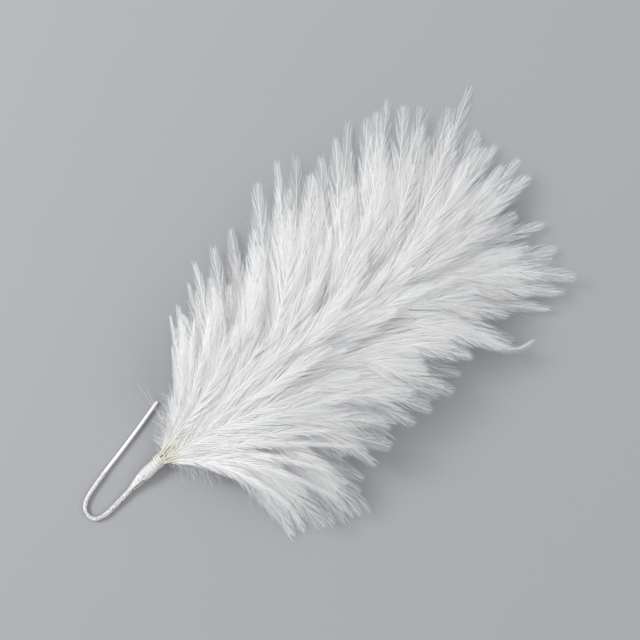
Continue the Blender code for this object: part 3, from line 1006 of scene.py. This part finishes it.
def down_starts():
    """Where each soft barb starts, as a distance and an angle from the tie, with its heading and length."""
    fan = rng.uniform(-1.0, 1.0, DOWN_STRANDS)
    from_tie = rng.uniform(*DOWN_FROM_TIE, DOWN_STRANDS) * MM
    quill_angle = DOWN_FAN * fan - DOWN_LEAN
    heading = quill_angle + np.sign(fan) * np.radians(rng.uniform(*DOWN_STANDS_OFF, DOWN_STRANDS))
    reach = rng.uniform(*DOWN_REACHES, DOWN_STRANDS) * MM
    quill_angle[:LONG_HAIRS] = HAIRS_LEAVE_AT
    from_tie[:LONG_HAIRS] = rng.uniform(*HAIRS_FROM_TIE, LONG_HAIRS) * MM
    heading[:LONG_HAIRS] = np.radians(rng.uniform(*HAIR_HEADINGS, LONG_HAIRS))
    reach[:LONG_HAIRS] = rng.uniform(*HAIR_REACHES, LONG_HAIRS) * MM
    return from_tie, quill_angle, heading, reach


def grow_down():
    """All the soft barbs as one shape; the long hairs among them have no waves."""
    t = np.linspace(0.0, 1.0, DOWN_KNOTS)
    from_tie, quill_angle, heading, reach = down_starts()
    wave = rng.normal(0.0, DOWN_WAVE, DOWN_STRANDS) * (reach < UNWAVED_PAST)
    phase = DOWN_WAVES * t[None, :] + rng.uniform(0.0, LATEST_WAVE, DOWN_STRANDS)[:, None]
    headings = heading[:, None] + wave[:, None] * np.sin(phase)
    forward, sideways = walk(headings[:, 1:], reach)
    start_x = (from_tie * np.cos(quill_angle))[:, None]
    start_y = (from_tie * np.sin(quill_angle))[:, None]
    level = rng.uniform(*DOWN_LEVELS, DOWN_STRANDS)[:, None]
    height = axis_height(start_x) + level * (QUILLS_HALF_THICKNESS + QUILLS_FAN_OUT * from_tie[:, None])
    height = height + DOWN_CLIMBS * level * reach[:, None] * t[None, :]
    line = np.stack((start_x + forward, start_y + sideways, np.maximum(height, FLOOR_GAP)), axis=-1)
    half = np.broadcast_to(DOWN_HALF_WIDTH - DOWN_HALF_THINNING * t, (DOWN_STRANDS, DOWN_KNOTS))
    roll = rng.uniform(-DOWN_ROLL, DOWN_ROLL, DOWN_STRANDS)
    tone = rng.uniform(0.0, 1.0, DOWN_STRANDS)
    return grow_strands(line, half, roll, np.full(DOWN_STRANDS, DOWN_WHITE_AS_AT), tone, t)


add_piece("base_down", join_hackles("base_down", [[grow_down()]]), None, keratin)

# The stage: a plain table top, soft light from two large lamps and a camera that looks straight down.
TABLE_HALF = 3.0
table_mesh = bpy.data.meshes.new("table_top")
bm = bmesh.new()
bmesh.ops.create_grid(bm, x_segments=1, y_segments=1, size=TABLE_HALF)
bm.to_mesh(table_mesh)
bm.free()
table_top = bpy.data.objects.new("table_top", table_mesh)
bpy.context.scene.collection.objects.link(table_top)
grey, tree, shader = new_material("table_top_grey")
shader.inputs["Base Color"].default_value = (0.30, 0.305, 0.315, 1.0)
shader.inputs["Roughness"].default_value = 0.85
table_mesh.materials.append(grey)

world = bpy.data.worlds.new("studio")
bpy.context.scene.world = world
bpy.context.scene.view_settings.view_transform = "Standard"
world.use_nodes = True
sky = world.node_tree.nodes["Background"]
sky.inputs["Color"].default_value = (0.95, 0.97, 1.0, 1.0)
sky.inputs["Strength"].default_value = 0.8

LAMPS_AIM_AT = Vector((0.0, 0.0, 0.02))


def add_lamp(name, place, size, power):
    light = bpy.data.lights.new(name, "AREA")
    light.shape = "DISK"
    light.size = size
    light.energy = power
    lamp = bpy.data.objects.new(name, light)
    lamp.location = place
    lamp.rotation_euler = (LAMPS_AIM_AT - Vector(place)).to_track_quat("-Z", "Y").to_euler()
    bpy.context.scene.collection.objects.link(lamp)


add_lamp("key_lamp", (-0.45, 0.80, 0.72), 0.45, 11.0)
add_lamp("fill_lamp", (0.8, -0.5, 0.9), 0.9, 3.5)

# The camera is turned so that the plume points up to the right at the photo's slant.
PICTURE_WIDTH = 640 * 0.36 * MM
PICTURE_SLANT = math.atan2(0.6, 0.8)
AIM_FROM_TIE = (75.3 * MM, 5.6 * MM)
FOCUS_HEIGHT = 12 * MM
camera_data = bpy.data.cameras.new("camera")
camera_data.lens = 100
camera_data.sensor_width = 36
camera_data.clip_start = 0.01
camera = bpy.data.objects.new("camera", camera_data)
view_distance = PICTURE_WIDTH * camera_data.lens / camera_data.sensor_width
camera.location = (tie.x + AIM_FROM_TIE[0], tie.y + AIM_FROM_TIE[1], view_distance + FOCUS_HEIGHT)
camera.rotation_euler = (0.0, 0.0, -PICTURE_SLANT)
bpy.context.scene.collection.objects.link(camera)
bpy.context.scene.camera = camera
